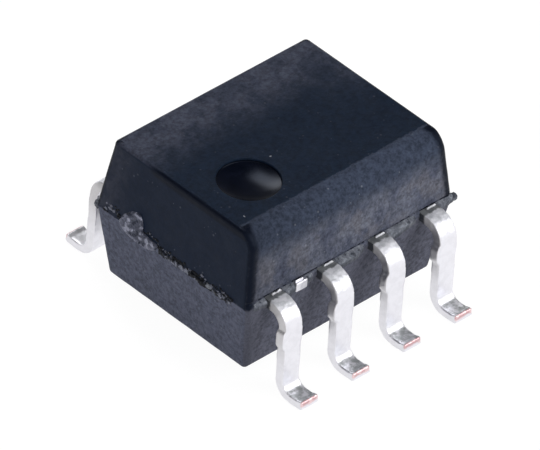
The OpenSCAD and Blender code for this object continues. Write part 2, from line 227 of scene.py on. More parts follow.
def buildGrain():
    tree, start, end = newGroup(
        "epoxyGrain",
        [("Place", "NodeSocketVector", None), ("Grain Size", "NodeSocketFloat", 0.045),
         ("Mottle Size", "NodeSocketFloat", 0.35), ("Fleck Size", "NodeSocketFloat", 0.11),
         ("Fleck Share", "NodeSocketFloat", 0.2)],
        [("Speckle", "NodeSocketFloat"), ("Mottle", "NodeSocketFloat"), ("Flecks", "NodeSocketFloat"),
         ("Height", "NodeSocketFloat")])
    place = start.outputs["Place"]
    fineScale, broadScale, fleckScale = (calc(tree, "DIVIDE", 1.0, start.outputs[k])
                                         for k in ("Grain Size", "Mottle Size", "Fleck Size"))
    fine = addNode(tree, "ShaderNodeTexNoise", {"Vector": place, "Scale": fineScale, "Detail": 3.0,
                                                "Roughness": 0.62})
    broad = addNode(tree, "ShaderNodeTexNoise", {"Vector": place, "Scale": broadScale, "Detail": 4.0,
                                                 "Roughness": 0.58, "Distortion": 0.4})
    cells = addNode(tree, "ShaderNodeTexVoronoi", {"Vector": place, "Scale": fleckScale,
                                                   "Randomness": 1.0})
    picked = addNode(tree, "ShaderNodeSeparateColor", {0: cells.outputs["Color"]})
    chosen = calc(tree, "LESS_THAN", picked.outputs[0], start.outputs["Fleck Share"])
    size = calc(tree, "MULTIPLY_ADD", picked.outputs[1], 0.2, 0.08)
    dot = calc(tree, "SUBTRACT", 1.0, calc(tree, "DIVIDE", cells.outputs["Distance"], size), clamp=True)
    flecks = times(tree, chosen, dot)
    height = calc(tree, "MULTIPLY_ADD", flecks, 0.35, fine.outputs[0])
    tree.links.new(between(tree, fine.outputs[0], 0.3, 0.7), end.inputs["Speckle"])
    tree.links.new(between(tree, broad.outputs[0], 0.32, 0.68), end.inputs["Mottle"])
    tree.links.new(flecks, end.inputs["Flecks"])
    tree.links.new(height, end.inputs["Height"])
    return tree


epoxyGrain = buildGrain()

# Finish of the moulding: rough blue-grey sides, a dark smooth top and dark smooth end faces; the very dark
# colour of the top and of the end faces above the parting is partly painted shade
mould = {
    "side": (0.118, 0.126, 0.160),
    "sideDark": (0.062, 0.069, 0.100),
    "sideWarm": (0.105, 0.104, 0.122),
    "lower": (0.098, 0.101, 0.132),
    "shoulder": (0.035, 0.044, 0.069),
    # top and end: a smoother finish, with painted shade in their colour as well
    "top": (0.0046, 0.0092, 0.0198),
    "topDust": (0.041, 0.045, 0.065),
    "end": (0.0046, 0.0090, 0.0218),
    "endDust": (0.032, 0.034, 0.050),
    "endLower": (0.083, 0.090, 0.128),
    "band": (0.0012, 0.0022, 0.0070),
    # painted shadow colour for the groove just above the webs
    "seamShadow": (0.0016, 0.0020, 0.0045),
    "fleck": (0.25, 0.26, 0.30),
    "topEdgeY": -1.385,  # the smooth top ends here
    "parting": 1.80,
    "shoulderZ": (2.48, 3.00), "topZ": (3.19, 3.22),  # mm, where one finish fades into the next
    "dustY": (0.3, 1.65), "farDustX": (1.2, 2.3), "farDustY": (-0.4, 0.9), "hazeY": (1.0, 1.9),
    "dimX": (-2.5, 0.5), "dimTo": 0.76,  # the walls are darker towards lead 1
    "wander": 0.05, "fadeWidth": 0.04, "grainStrength": 0.95,
    "roughness": 0.7, "polish": -0.22,
    "flecksShown": 0.55, "topFlecksShown": 0.15, "dustFlecks": 0.22,
    "bumpDepth": 0.008,  # mm
}


def mouldedEpoxy():
    material, tree, shader = newMaterial("mouldedEpoxy")
    place, (x, y, z), normal = placeInMm(tree)
    turn = addNode(tree, "ShaderNodeSeparateXYZ", {0: normal})
    faceX = calc(tree, "ABSOLUTE", turn.outputs[0])
    grain = fillGroup(tree, epoxyGrain, {"Place": place, "Fleck Share": 0.22})
    speckle, mottle, flecks = (grain.outputs[k] for k in ("Speckle", "Mottle", "Flecks"))
    worn = fillGroup(tree, epoxyGrain, {"Place": place, "Grain Size": 0.1, "Mottle Size": 0.8,
                                        "Fleck Size": 0.05, "Fleck Share": 0.12})
    warm = between(tree, worn.outputs["Mottle"], 0.45, 0.95)
    onEnd = between(tree, faceX, 0.80, 0.95)
    above = between(tree, z, mould["parting"] - 0.02, mould["parting"] + 0.02)

    side = blendColour(tree, mottle, mould["sideDark"], mould["side"])
    side = blendColour(tree, times(tree, warm, 0.7), side, mould["sideWarm"])
    side = blendColour(tree, between(tree, z, *mould["shoulderZ"]), side, mould["shoulder"])
    side = shaded(tree, side, between(tree, x, *mould["dimX"], mould["dimTo"], 1.0))
    low = blendColour(tree, onEnd, mould["lower"], mould["endLower"])
    side = blendColour(tree, above, low, side)
    # The two finishes meet unevenly
    wander = calc(tree, "MULTIPLY_ADD", worn.outputs["Speckle"], mould["wander"], y)
    onTop = times(tree, between(tree, wander, mould["topEdgeY"], mould["topEdgeY"] + mould["fadeWidth"]),
                  between(tree, z, *mould["topZ"]))
    far = times(tree, between(tree, x, *mould["farDustX"]), between(tree, y, *mould["farDustY"], 0.0, 0.5))
    dusty = calc(tree, "MAXIMUM", between(tree, y, *mould["dustY"]), far)
    dusty = times(tree, dusty, between(tree, mottle, 0.0, 1.0, 0.65, 1.25), clamp=True)
    # The top's dark colour is its smoother finish plus painted shade
    top = blendColour(tree, dusty, mould["top"], mould["topDust"])
    colour = blendColour(tree, onTop, side, top)
    # The end faces above the parting: smoother, and painted dark as shade
    smoothShadedEnd = times(tree, onEnd, above)
    hazy = times(tree, between(tree, y, *mould["hazeY"]), between(tree, mottle, 0.0, 1.0, 0.4, 1.0))
    colour = blendColour(tree, smoothShadedEnd, colour, blendColour(tree, hazy, mould["end"], mould["endDust"]))
    rough = calc(tree, "MAXIMUM", times(tree, smoothShadedEnd, 0.75), times(tree, onTop, 0.1))
    depth = calc(tree, "MULTIPLY_ADD", rough, -0.8, 1.0)  # how strongly the grain shows
    uneven = calc(tree, "MULTIPLY_ADD", worn.outputs["Speckle"], 0.6, times(tree, speckle, 0.4))
    level = calc(tree, "MULTIPLY_ADD", calc(tree, "SUBTRACT", uneven, 0.5),
                 times(tree, depth, mould["grainStrength"]), 1.0)
    colour = shaded(tree, colour, level)
    shown = calc(tree, "MULTIPLY_ADD", onTop, mould["topFlecksShown"] - mould["flecksShown"],
                 mould["flecksShown"])
    pale = times(tree, flecks, times(tree, depth, shown))
    fine = times(tree, worn.outputs["Flecks"], times(tree, dusty, onTop))
    pale = calc(tree, "MAXIMUM", pale, times(tree, fine, mould["dustFlecks"]))
    colour = blendColour(tree, pale, colour, mould["fleck"])
    frayed = calc(tree, "MULTIPLY_ADD", calc(tree, "SUBTRACT", worn.outputs["Speckle"], 0.5), 0.3,
                  painted(tree, "edgeDark"))
    edge = between(tree, frayed, 0.12, 0.88)
    colour = blendColour(tree, edge, colour, mould["band"])
    # Painted shadow: a dark line along the groove just above the webs
    seamShadow = painted(tree, "seamShadowMask")
    broken = between(tree, worn.outputs["Speckle"], 0.35, 0.7)
    colour = blendColour(tree, times(tree, seamShadow, broken), colour, mould["seamShadow"])
    tree.links.new(colour, shader.inputs["Base Color"])
    polished = calc(tree, "MAXIMUM", rough, edge)
    matt = calc(tree, "MULTIPLY_ADD", mottle, -0.1, mould["roughness"])
    tree.links.new(calc(tree, "MULTIPLY_ADD", polished, mould["polish"], matt), shader.inputs["Roughness"])
    shader.inputs["Specular IOR Level"].default_value = 0.13
    shader.inputs["Specular Tint"].default_value = (0.55, 0.70, 1.0, 1)
    height = times(tree, calc(tree, "ADD", grain.outputs["Height"], worn.outputs["Height"]), depth)
    addBump(tree, shader, height, 0.6, mould["bumpDepth"])
    return material


# The polished bowl of the lead 1 mark
dish = {"deep": (0.0006, 0.0013, 0.0045), "haze": (0.002, 0.003, 0.008)}


def polishedDish():
    material, tree, shader = newMaterial("polishedDish")
    place, _, _ = placeInMm(tree)
    grain = fillGroup(tree, epoxyGrain, {"Place": place, "Grain Size": 0.03, "Fleck Share": 0.05})
    colour = blendColour(tree, grain.outputs["Mottle"], dish["deep"], dish["haze"])
    tree.links.new(colour, shader.inputs["Base Color"])
    tree.links.new(calc(tree, "MULTIPLY_ADD", grain.outputs["Mottle"], 0.05, 0.2), shader.inputs["Roughness"])
    shader.inputs["Specular IOR Level"].default_value = 0.13
    shader.inputs["Specular Tint"].default_value = (0.62, 0.74, 1.0, 1)
    addBump(tree, shader, grain.outputs["Height"], 0.2, 0.003)
    return material


# Broken epoxy of the flash webs and the gate scar: grey to whitish, with black pits, and painted shade under
# the webs
broken = {
    "flash": {"body": (0.125, 0.135, 0.162), "pale": (0.21, 0.225, 0.26), "pitAndShade": (0.045, 0.050, 0.065),
              "paleFrom": 0.50, "pitTo": 0.22, "flecks": 0.25},
    "scar": {"body": (0.066, 0.072, 0.104), "pale": (0.27, 0.28, 0.36), "pitAndShade": (0.022, 0.026, 0.042),
             "paleFrom": 0.62, "pitTo": 0.26, "flecks": 0.15},
    "crumbs": {"body": (0.020, 0.024, 0.038), "pale": (0.17, 0.18, 0.23), "pitAndShade": (0.002, 0.003, 0.006),
               "paleFrom": 0.66, "pitTo": 0.60, "flecks": 0.45},
}


def brokenEpoxy(kind):
    look = broken[kind]
    material, tree, shader = newMaterial(kind + "Epoxy")
    place, _, _ = placeInMm(tree)
    grain = fillGroup(tree, epoxyGrain, {"Place": place, "Grain Size": 0.04, "Mottle Size": 0.13,
                                         "Fleck Share": 0.4})
    mottle = grain.outputs["Mottle"]
    lit = calc(tree, "MAXIMUM", between(tree, mottle, look["paleFrom"], 1.0), painted(tree, "paleRim"))
    colour = blendColour(tree, lit, look["body"], look["pale"])
    pits = between(tree, mottle, look["pitTo"] - 0.2, look["pitTo"], 1, 0)
    colour = blendColour(tree, pits, colour, look["pitAndShade"])
    flecks = times(tree, grain.outputs["Flecks"], look["flecks"])
    colour = blendColour(tree, flecks, colour, look["pale"])
    colour = shaded(tree, colour, between(tree, grain.outputs["Speckle"], 0.0, 1.0, 0.78, 1.22))
    # Painted shade under the webs in the pit colour, and the black of dark crumbs and lumps
    colour = blendColour(tree, painted(tree, "blackAndPaintedShade"), colour, look["pitAndShade"])
    tree.links.new(colour, shader.inputs["Base Color"])
    tree.links.new(between(tree, mottle, 0.0, 1.0, 0.75, 0.5), shader.inputs["Roughness"])
    shader.inputs["Specular IOR Level"].default_value = 0.2
    addBump(tree, shader, grain.outputs["Height"], 0.6, 0.01)
    return material


mouldMaterial = mouldedEpoxy()
dishMaterial = polishedDish()
flashMaterial = brokenEpoxy("flash")
scarMaterial = brokenEpoxy("scar")
crumbMaterial = brokenEpoxy("crumbs")
print("epoxy materials made")

# The moulding: drafted walls, rolled edges, the wide shoulder over leads 1 to 4 and the dished mark
body = {
    "halfLength": 2.54, "halfWidth": 1.965,
    "underside": 0.22, "parting": 1.80, "top": 3.27,
    "draft": 7.0, "endDraft": 9.0,
    "edge": 0.10, "shoulder": 0.42,
    "markX": -1.27, "markY": -0.54, "markRadius": 0.59, "markWall": 0.06, "markDish": 0.13, "markLip": 0.022,
    "alongX": 130, "alongY": 100, "inCorner": 7,
    "wave": 0.0035, "ridge": 0.014,
    "bandAcross": 0.17, "bandAlong": 0.30, "bandDeep": 0.17, "bandFades": (0.45, 1.1),
    "seamZ": 1.915, "seamHalf": 0.02, "seamDeep": 0.022,
}


def sideAt(half, draft, z, r, ballZ):
    # Distance of a drafted wall from the middle at height z, with its edge rolled by a ball of radius r
    slope = math.radians(draft)
    off = abs(z - ballZ) if (z - ballZ) * (ballZ - body["parting"]) > 0 else 0
    if off <= r * math.sin(slope):
        return half - abs(z - body["parting"]) * math.tan(slope)
    centre = half - abs(ballZ - body["parting"]) * math.tan(slope) - r / math.cos(slope)
    return centre + math.sqrt(max(r * r - off * off, 0))


def planLoop(xHalf, yLow, yHigh, r):
    # Rounded rectangle, counter-clockwise from above
    corners = ((xHalf - r, yLow + r, -90), (xHalf - r, yHigh - r, 0),
               (-xHalf + r, yHigh - r, 90), (-xHalf + r, yLow + r, 180))
    points = []
    for i, (cx, cy, first) in enumerate(corners):
        for k in range(body["inCorner"] + 1):
            a = math.radians(first + 90 * k / body["inCorner"])
            points.append((cx + r * math.cos(a), cy + r * math.sin(a)))
        nx, ny, nFirst = corners[(i + 1) % 4]
        b = math.radians(nFirst)
        goal = (nx + r * math.cos(b), ny + r * math.sin(b))
        steps = body["alongY"] if i % 2 == 0 else body["alongX"]
        here = points[-1]
        points += [(here[0] + (goal[0] - here[0]) * k / steps, here[1] + (goal[1] - here[1]) * k / steps)
                   for k in range(1, steps)]
    return np.array(points)


def bodyRing(z):
    r, part = body["edge"], body["parting"]
    if z >= part:
        ballZ, draftX, draftY = body["top"] - r, body["draft"], body["draft"]
        nearR = body["shoulder"]
        near = sideAt(body["halfWidth"], draftY, z, nearR, body["top"] - nearR)
    else:
        ballZ, draftX, draftY = body["underside"] + r, body["endDraft"], body["draft"]
        near = sideAt(body["halfWidth"], draftY, z, r, ballZ)
    xHalf = sideAt(body["halfLength"], draftX, z, r, ballZ)
    far = sideAt(body["halfWidth"], draftY, z, r, ballZ)
    off = max(abs(z - part) - abs(ballZ - part), 0)
    corner = max(math.sqrt(max(r * r - off * off, 0)), 0.012)
    loop = planLoop(xHalf, -near, far, corner)
    return np.column_stack([loop, np.full(len(loop), z)])


def bodyLevels():
    r, big = body["edge"], body["shoulder"]
    low = [body["underside"] + r * (1 - math.cos(math.radians(a))) for a in (0, 15, 30, 45, 60, 72, 84)]
    low += list(np.linspace(low[-1], body["parting"] - 0.24, 24)[1:])
    middle = list(np.arange(body["parting"] - 0.22, body["parting"] + 0.31, 0.016))
    high = list(np.linspace(body["parting"] + 0.33, body["top"] - big + 0.05, 20))
    small = [body["top"] - r * (1 - math.cos(math.radians(a))) for a in (80, 66, 54, 42, 30, 18, 0)]
    large = [body["top"] - big * (1 - math.cos(math.radians(a))) for a in range(84, 2, -4)]
    levels = sorted(set(round(v, 5) for v in low + middle + high + small + large))
    kept = [levels[0]]
    for v in levels[1:]:
        if v - kept[-1] > 0.0007:
            kept.append(v)
    kept[-1] = body["top"]
    return kept


def mouldRings():
    rings = [bodyRing(z) for z in bodyLevels()]
    bottom, top = rings[0], rings[-1]
    middle = np.array([0, 0, body["underside"]])
    under = [middle + (bottom - middle) * s for s in np.linspace(0.04, 1, 22)[:-1]]
    mark = np.array([body["markX"], body["markY"]])
    away = top[:, :2] - mark
    away /= np.linalg.norm(away, axis=1)[:, None]
    lip, radius = body["markLip"], body["markRadius"]
    rim = mark + away * (radius + lip)
    flat = [np.column_stack([top[:, :2] + (rim - top[:, :2]) * s, np.full(len(top), body["top"])])
            for s in np.linspace(0, 1, 26)[1:]]
    profile = [(radius + lip - lip * math.sin(math.radians(a)), -lip * (1 - math.cos(math.radians(a))))
               for a in (18, 36, 54, 72, 90)]
    profile += [(radius, -body["markWall"] * s) for s in (0.6, 0.8, 1.0)]
    bowl = (radius ** 2 + body["markDish"] ** 2) / (2 * body["markDish"])
    for s in np.linspace(0.98, 0.03, 26):
        drop = math.sqrt(bowl ** 2 - (radius * s) ** 2) - (bowl - body["markDish"])
        profile.append((radius * s, -body["markWall"] - drop))
    well = [np.column_stack([mark + away * d, np.full(len(top), body["top"] + h)]) for d, h in profile]
    wallFrom, wallTo = len(under), len(under) + len(rings)
    inLip = 5  # rings of the rolled lip, which keep the finish of the top
    return under + rings + flat + well, wallFrom, wallTo, wallTo + len(flat) + inLip


def darkenEdges(piece, points, around, first, last):
    # The dark glossy rim of each end: down its upright edges and along its top edge
    level, top, part = np.zeros(len(points)), body["top"], body["parting"]
    for i in range(first, last):
        ring = slice(i * around, (i + 1) * around)
        x, y, z = points[ring].T
        fromEnd = x.max() - np.abs(x)
        fromSide = np.minimum(y - y.min(), y.max() - y)
        upright = 1 - easeStep(fromSide, 0.0, body["bandAcross"])
        upright *= 1 - easeStep(fromEnd, 0.05, body["bandAlong"])
        upright *= 0.4 + 0.6 * easeStep(z, part - 0.06, part + 0.06)
        depth = top - z
        rolled = (1 - easeStep(fromEnd, 0.03, 0.09)) * easeStep(depth, 0.0, 0.025)
        rolled *= (1 - easeStep(depth, 0.6 * body["bandDeep"], 1.3 * body["bandDeep"]))
        rolled *= 1 - easeStep(y, *body["bandFades"])
        level[ring] = np.maximum(upright, rolled)
    paint(piece, "edgeDark", level)
    # Painted shadow along the groove just above the webs
    row = np.abs(points[:, 1]) > body["halfWidth"] - 0.06
    paint(piece, "seamShadowMask", np.exp(-((points[:, 2] - body["seamZ"]) / body["seamHalf"]) ** 4) * row)


def makeMoulding():
    rings, wallFrom, wallTo, dishFrom = mouldRings()
    around = len(rings[0])
    points = np.concatenate(rings)
    piece = makePiece("mouldedBody", points, ringFaces(len(rings), around), [mouldMaterial, dishMaterial])
    mesh = piece.data
    normals = np.zeros(len(mesh.vertices) * 3)
    mesh.vertices.foreach_get("normal", normals)
    normals = normals.reshape(-1, 3)
    moved = points.copy()
    for i, p in enumerate(points):
        if i >= dishFrom * around:
            break
        ridge = math.exp(-((p[2] - body["parting"]) / 0.02) ** 2)
        push = body["wave"] * ripple(p, 0.35) * (0.3 if p[2] > 3.2 else 1.0)
        push += body["ridge"] * ridge * (ripple(p, 0.09, 3, 5.0) + 0.25)
        if abs(p[1]) > body["halfWidth"] - 0.06:
            push -= body["seamDeep"] * math.exp(-((p[2] - body["seamZ"]) / body["seamHalf"]) ** 4)
        moved[i] += normals[i] * push
    mesh.vertices.foreach_set("co", (moved * mm).ravel())
    quads = (len(rings) - 1) * around
    index = np.zeros(len(mesh.polygons), int)
    index[dishFrom * around:quads] = 1
    index[-1] = 1
    mesh.polygons.foreach_set("material_index", index)
    mesh.update()
    darkenEdges(piece, points, around, wallFrom, wallTo - 1)
    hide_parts("moulded_body")
    return piece


makeMoulding()
print("moulding made")

# Webs of flash between the leads, as thick as the leads
webs = {
    "pitch": 1.27, "leadHalf": 0.203, "thick": 0.2, "reach": 0.13, "gap": 0.12, "start": 0.17, "end": -0.01,
    "rough": 0.011, "step": 0.015,
    "shares": ((0.1, 0.3, 0.25, 0.6), (0.95, 0.6, 0.45, 0.3, 0.35, 0.2), (0.95, 0.9, 0.7, 0.9, 0.6, 0.1),
               (1, 0.95, 0.85, 0.65, 0.45, 0.15), (1, 0.75, 0.4, 0.25, 0.15)),
}


def leadX(n):
    return (n - 2.5) * webs["pitch"] if n < 5 else (6.5 - n) * webs["pitch"]


def webSpans():
    half, gap = webs["leadHalf"], webs["gap"]
    spans = [(-body["halfLength"] + webs["start"], leadX(1) - half)]
    spans += [(leadX(n) + half, leadX(n + 1) - half - gap) for n in (1, 2, 3)]
    return spans + [(leadX(4) + half, body["halfLength"] + webs["end"])]


def webSection(x, reach, seed):
    # Outline of a web across its length: a slab with a worn outer edge
    top, low = body["parting"] + webs["thick"] / 2, body["parting"] - webs["thick"] / 2
    root, tip = body["halfWidth"] - 0.06, body["halfWidth"] + reach
    outline = [(root + (tip - root) * s, low + 0.03 * s) for s in np.linspace(0, 0.92, 7)]
    outline += [(tip, low + 0.05), (tip + 0.004, low + 0.1), (tip - 0.004, top - 0.05)]
    outline += [(root + (tip - root) * s, top - 0.05 * s ** 2) for s in np.linspace(0.93, 0, 8)]
    section = []
    for y, z in outline:
        p = Vector((x, -y, z))
        rough = webs["rough"] * easeStep(y, body["halfWidth"] - 0.04, body["halfWidth"] + 0.03)
        p += Vector((0, ripple(p, 0.12, 3, seed) * rough, ripple(p, 0.10, 3, seed + 3) * rough * 0.8))
        section.append(p)
    return section


def makeWebs(side):
    points, faces = [], []
    for n, ((x0, x1), shares) in enumerate(zip(webSpans(), webs["shares"])):
        count = max(int((x1 - x0) / webs["step"]), 4)
        rings = []
        for i in range(count + 1):
            t = i / count
            reach = webs["reach"] * float(np.interp(t, np.linspace(0, 1, len(shares)), shares))
            rings += webSection(x0 + (x1 - x0) * t, reach, n * 4.0 + (20 if side > 0 else 0))
        around = len(rings) // (count + 1)
        faces += [tuple(i + len(points) for i in face) for face in ringFaces(count + 1, around)]
        points += rings
    points = np.array(points) * (1 if side < 0 else -1, 1 if side < 0 else -1, 1)
    name = "flashWebsNear" if side < 0 else "flashWebsFar"
    piece = makePiece(name, points, faces, [flashMaterial])
    # Painted shade on the lower half of each web
    under = 1 - easeStep(points[:, 2], body["parting"] - 0.02, body["parting"] + 0.06)
    paint(piece, "blackAndPaintedShade", under * 0.75)
    return piece


makeWebs(-1)
makeWebs(1)
print("flash webs made")

# The broken fin and the gate scar on the end beside leads 1 and 8
endScar = {
    "finReach": 0.05, "finThick": 0.12, "finFrom": 0.31, "finTo": -1.545, "finRough": 0.03,
    "gateY": 0.31, "gateLong": 1.03, "gateHigh": 0.64, "gateDrop": 0.34,
    "gateReach": 0.035, "gateRough": 0.016,
    "mostOut": 2.604,  # nothing stands out further than this from the middle
    "gateSteps": ((1.06, -0.25), (1.0, 0.0), (0.975, 0.6), (0.94, 0.95), (0.88, 0.9), (0.8, 0.65),
                  (0.7, 0.5), (0.6, 0.42), (0.5, 0.4), (0.4, 0.36), (0.3, 0.4), (0.2, 0.4), (0.1, 0.4)),
    "finShares": (0.4, 0.85, 0.3, 0.7, 0.55, 0.2, 0.75, 0.45, 1, 0.9, 0.35, 0.6, 0.95, 0.5, 0.15),
    "gateOutline": ((0, 0.42), (0.09, 0.15), (0.3, 0), (0.7, 0.01), (0.88, 0.08), (1, 0.37),
                    (0.92, 0.64), (0.74, 0.9), (0.55, 1), (0.44, 0.75), (0.42, 0.5), (0.2, 0.45)),
}


def endWallX(z):
    slope = body["draft"] if z > body["parting"] else body["endDraft"]
    return -(body["halfLength"] - abs(z - body["parting"]) * math.tan(math.radians(slope)))


def makeEndFin():
    count = int((endScar["finFrom"] - endScar["finTo"]) / 0.012)
    rings = []
    for i in range(count + 1):
        t = i / count
        y = endScar["finFrom"] + (endScar["finTo"] - endScar["finFrom"]) * t
        share = float(np.interp(t, np.linspace(0, 1, len(endScar["finShares"])), endScar["finShares"]))
        reach = endScar["finReach"] * share
        top, low = body["parting"] + 0.01, body["parting"] - endScar["finThick"]
        outline = [(-0.03, low), (0.3 * reach, low + 0.004), (0.8 * reach, low + 0.018), (reach, low + 0.035),
                   (reach, top - 0.03), (0.8 * reach, top - 0.012), (0.3 * reach, top), (-0.03, top)]
        for out, z in outline:
            p = Vector((endWallX(z) - out, y, z))
            rough = endScar["finRough"] * easeStep(out, -0.01, 0.02)
            p += Vector((ripple(p, 0.06, 3, 2.0), 0, ripple(p, 0.06, 3, 7.0) * 0.8)) * float(rough)
            rings.append(p)
    points = np.array(rings)
    points[:, 0] = np.maximum(points[:, 0], -endScar["mostOut"])
    return makePiece("endFin", points, ringFaces(count + 1, 8), [crumbMaterial])


def makeGateScar():
    corners = np.array([(endScar["gateY"] + endScar["gateLong"] * a,
                         body["parting"] + endScar["gateHigh"] * (b - endScar["gateDrop"]))
                        for a, b in endScar["gateOutline"]])
    around = 132
    closed = np.vstack([corners, corners[:1]])
    lengths = np.concatenate([[0], np.cumsum(np.linalg.norm(np.diff(closed, axis=0), axis=1))])
    walk = np.linspace(0, lengths[-1], around, endpoint=False)
    outline = np.column_stack([np.interp(walk, lengths, closed[:, k]) for k in (0, 1)])
    for _ in range(2):  # take the sharpness off the corners
        outline = (np.roll(outline, 1, 0) + outline * 2 + np.roll(outline, -1, 0)) / 4
    centre = outline.mean(0)
    rings, rim = [], []
    for s, out in endScar["gateSteps"]:
        for y, z in centre + (outline - centre) * s:
            p = Vector((endWallX(z), y, z))
            low = max(easeStep(body["parting"] + 0.02 - z, -0.02, 0.12), 0.8 * easeStep(y, 1.02, 1.25))
            rim.append(float(0.85 * low * easeStep(s, 0.7, 0.92) * (0.6 + 0.5 * ripple(p, 0.1, 2, 6.0))))
            lift = endScar["gateReach"] * out
            rough = endScar["gateRough"] * (0 if out <= 0 else 1)
            p.x -= lift + rough * (ripple(p, 0.12, 4, 11.0) + 0.2)
            p.y += rough * 0.7 * ripple(p, 0.08, 2, 4.0)
            rings.append(p)
    points = np.array(rings)
    points[:, 0] = np.maximum(points[:, 0], -endScar["mostOut"])
    faces = ringFaces(len(endScar["gateSteps"]), around)
    piece = makePiece("gateScar", points, faces, [scarMaterial])
    paint(piece, "paleRim", rim)
    return piece


makeEndFin()
makeGateScar()
print("end scars made")

# Small lumps of flash: a knob at the corner beside lead 4, a bead on the opposite corner,
# a crumb and a flat grain on the top, and grit beside the gate scar
lumps = {
    "cornerKnob": {"centre": (2.565, -1.950, 1.815), "radii": (0.062, 0.075, 0.080),
                   "pale": 0.0, "dark": 0.9},
    "cornerBead": {"centre": (-2.53, 1.95, 1.80), "radii": (0.035, 0.04, 0.035), "pale": 0.0, "dark": 0.6},
    "topCrumb": {"centre": (-2.05, -1.24, 3.268), "radii": (0.011, 0.026, 0.008), "pale": 0.9, "dark": 0.0},
    "topGrit": {"centre": (-0.52, -0.305, 3.268), "radii": (0.028, 0.022, 0.003), "pale": 0.1, "dark": 0.0},
    "gateGrit": {"centre": (-2.545, -0.98, 1.77), "radii": (0.03, 0.085, 0.05), "pale": 0.35, "dark": 0.0},
}
lumpAround, lumpRings = 36, 24


def lumpPoints(centre, radii, seed, rings, around):
    points, up = [], []
    for i in range(rings):
        a = math.pi * (i + 0.5) / rings
        for k in range(around):
            b = 2 * math.pi * k / around
            d = Vector((math.sin(a) * math.cos(b), math.sin(a) * math.sin(b), -math.cos(a)))
            up.append(d.z)
            d *= 1 + 0.13 * ripple(d, 0.9, 3, seed)
            points.append([centre[j] + radii[j] * d[j] for j in range(3)])
    return points, up


def makeLump(name, shape, seed):
    points, up = lumpPoints(shape["centre"], shape["radii"], seed, lumpRings, lumpAround)
    piece = makePiece(name, points, ringFaces(lumpRings, lumpAround), [flashMaterial])
    paint(piece, "blackAndPaintedShade", shape["dark"] * easeStep(np.array(up), 0.0, 0.6))
    paint(piece, "paleRim", [shape["pale"]] * len(points))
    return piece


for i, (name, shape) in enumerate(lumps.items()):
    makeLump(name, shape, 3.0 + i)

# Crumbs left where the fin and the gate broke off: most are black, some are pale
crumbs = {
    "rows": ({"from": 0.34, "to": -1.62, "count": 95, "z": 1.825, "spread": 0.045, "paleAt": -1.0},
             {"from": 1.72, "to": 1.30, "count": 26, "z": 1.90, "spread": 0.085, "paleAt": 1.66},
             {"from": 0.95, "to": 0.34, "count": 22, "z": 1.93, "spread": 0.03, "paleAt": 9.0}),
    "least": 0.012, "most": 0.038, "rings": 9, "around": 14, "paleShare": 0.22,
}


def makeCrumbs():
    draw = np.random.default_rng(11)
    points, faces, dark, pale = [], [], [], []
    rings, around = crumbs["rings"], crumbs["around"]
    for row in crumbs["rows"]:
        for k in range(row["count"]):
            y = row["from"] + (row["to"] - row["from"]) * (k + draw.uniform(-0.5, 0.5)) / row["count"]
            z = row["z"] + row["spread"] * float(np.clip(draw.normal(0, 0.6), -1.3, 1.3))
            size = draw.uniform(crumbs["least"], crumbs["most"])
            near = math.exp(-((y - row["paleAt"]) / 0.22) ** 2)
            isPale = draw.uniform(0, 1) < crumbs["paleShare"] + 0.4 * near
            centre = (endWallX(z) + 0.35 * size, y, z)
            made, _ = lumpPoints(centre, (size, size * draw.uniform(0.8, 1.5), size * draw.uniform(0.7, 1.2)),
                                 k * 1.3, rings, around)
            faces += [tuple(i + len(points) for i in face) for face in ringFaces(rings, around)]
            points += made
            dark += [0.0 if isPale else 1.0] * len(made)
            pale += [0.55 + 0.3 * near if isPale else 0.0] * len(made)
    piece = makePiece("endCrumbs", points, faces, [crumbMaterial])
    paint(piece, "blackAndPaintedShade", dark)
    paint(piece, "paleRim", pale)
    return piece


makeCrumbs()
print("lumps and crumbs made")

# Tin plate: bright satin metal, mottled where the bend stretched it, copper where the tips were sheared;
# painted shade on the side faces and at each root, and a painted dark reflection on the foot tops
tin = {
    "bright": (0.85, 0.845, 0.895),
    "grey": (0.56, 0.575, 0.61),
    # side: painted shade for the faces turned along the row
    "side": (0.50, 0.49, 0.50),
    # painted dark reflection for the upward faces of the feet
    "footTopReflection": (0.25, 0.28, 0.27),
    "copper": (0.82, 0.56, 0.56), "copperDeep": (0.60, 0.31, 0.32),
    # film: the resin film's own grey; the second colour: painted shade in the crevice beside each root
    "film": (0.135, 0.142, 0.150), "rootCreviceShade": (0.020, 0.023, 0.030),
    # the painted crevice shade on each lead ends at the same place as the resin film
    "filmAndShadeTo": 2.085, "filmAndShadeFade": 0.05,  # mm from the middle, where the resin film on each lead ends
    "kneeZ": (1.60, 1.84), "kneeOut": (2.26, 2.50), "footZ": (0.3, 0.4),
    "tieX": -1.27, "tieHalf": (0.15, 0.17), "tipOut": (3.025, 3.05), "tipZ": (0.100, 0.150),
    "roughLeg": 0.34,
    "roughKnee": 0.55,
}


def buildTinMottle():
    tree, start, end = newGroup(
        "tinMottle",
        [("Place", "NodeSocketVector", None), ("Patch Size", "NodeSocketFloat", 0.16),
         ("Grain Size", "NodeSocketFloat", 0.03)],
        [("Patch", "NodeSocketFloat"), ("Grain", "NodeSocketFloat"), ("Height", "NodeSocketFloat")])
    place = start.outputs["Place"]
    patchScale, grainScale = (calc(tree, "DIVIDE", 1.0, start.outputs[k]) for k in ("Patch Size", "Grain Size"))
    patch = addNode(tree, "ShaderNodeTexNoise", {"Vector": place, "Scale": patchScale, "Detail": 3.0,
                                                 "Roughness": 0.6})
    grain = addNode(tree, "ShaderNodeTexNoise", {"Vector": place, "Scale": grainScale, "Detail": 2.0,
                                                 "Roughness": 0.5})
    tree.links.new(between(tree, patch.outputs[0], 0.35, 0.65), end.inputs["Patch"])
    tree.links.new(between(tree, grain.outputs[0], 0.3, 0.7), end.inputs["Grain"])
    tree.links.new(calc(tree, "MULTIPLY_ADD", patch.outputs[0], 2.0, grain.outputs[0]), end.inputs["Height"])
    return tree


tinMottle = buildTinMottle()


